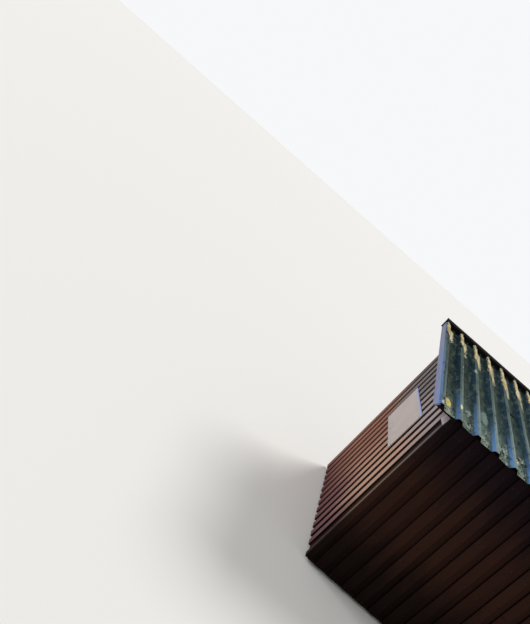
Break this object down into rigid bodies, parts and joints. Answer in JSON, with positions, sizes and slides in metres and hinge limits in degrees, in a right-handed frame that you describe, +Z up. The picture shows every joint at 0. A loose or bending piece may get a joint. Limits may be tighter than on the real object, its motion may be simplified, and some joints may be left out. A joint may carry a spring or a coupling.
{
  "type": "boathouse",
  "caption": "Small timber boathouse for a landing deck, with a pent roof of ribbed sheets, upright board cladding and boarded double doors.",
  "frame": {"origin": "on the ground, under the middle of the whole outline", "axes": "+X along the shore, to the right when seen from the back; +Y from the back wall towards the doors and the water; +Z up"},
  "size_m": [4.212, 2.1064, 2.3978],
  "materials": {
    "damp_timber": "damp, darkened softwood",
    "frame_timber": "sawn softwood, bare and dry",
    "red_boards": "faded red-brown paint on sawn boards",
    "roof_sheet": "weathered dark green-grey coating with lichen and moss",
    "barge_paint": "faded paint on planed boards",
    "black_paint": "black paint on a planed board",
    "capping": "folded sheet, black coating",
    "ironwork": "black painted iron, a little rusty",
    "notice_paint": "pale grey painted board, bare of text"
  },
  "bodies": {
    "root": {"back_sill": "damp_timber", "front_sill": "damp_timber", "left_sill": "damp_timber", "right_sill": "damp_timber", "corner_posts": "frame_timber", "back_middle_post": "frame_timber", "door_posts": "frame_timber", "door_header": "frame_timber", "back_top_plate": "frame_timber", "front_top_plate": "frame_timber", "back_rails": "frame_timber", "left_rails": "frame_timber", "right_rails": "frame_timber", "front_rails": "frame_timber", "back_wall": "red_boards", "left_wall": "red_boards", "right_wall": "red_boards", "front_wall_left": "red_boards", "front_wall_right": "red_boards", "front_wall_over_doors": "red_boards", "left_door": "red_boards", "right_door": "red_boards", "left_door_ledges": "frame_timber", "right_door_ledges": "frame_timber", "left_door_hinges": "ironwork", "right_door_hinges": "ironwork", "door_hasp": "ironwork", "rafters": "frame_timber", "roof_battens": "frame_timber", "roof_sheet_1": "roof_sheet", "roof_sheet_2": "roof_sheet", "roof_sheet_3": "roof_sheet", "roof_sheet_4": "roof_sheet", "left_barge_board": "barge_paint", "right_barge_board": "barge_paint", "front_fascia": "black_paint", "fascia_capping": "capping", "corner_blocks": "barge_paint", "notice_board": "notice_paint"}
  },
  "joints": []
}
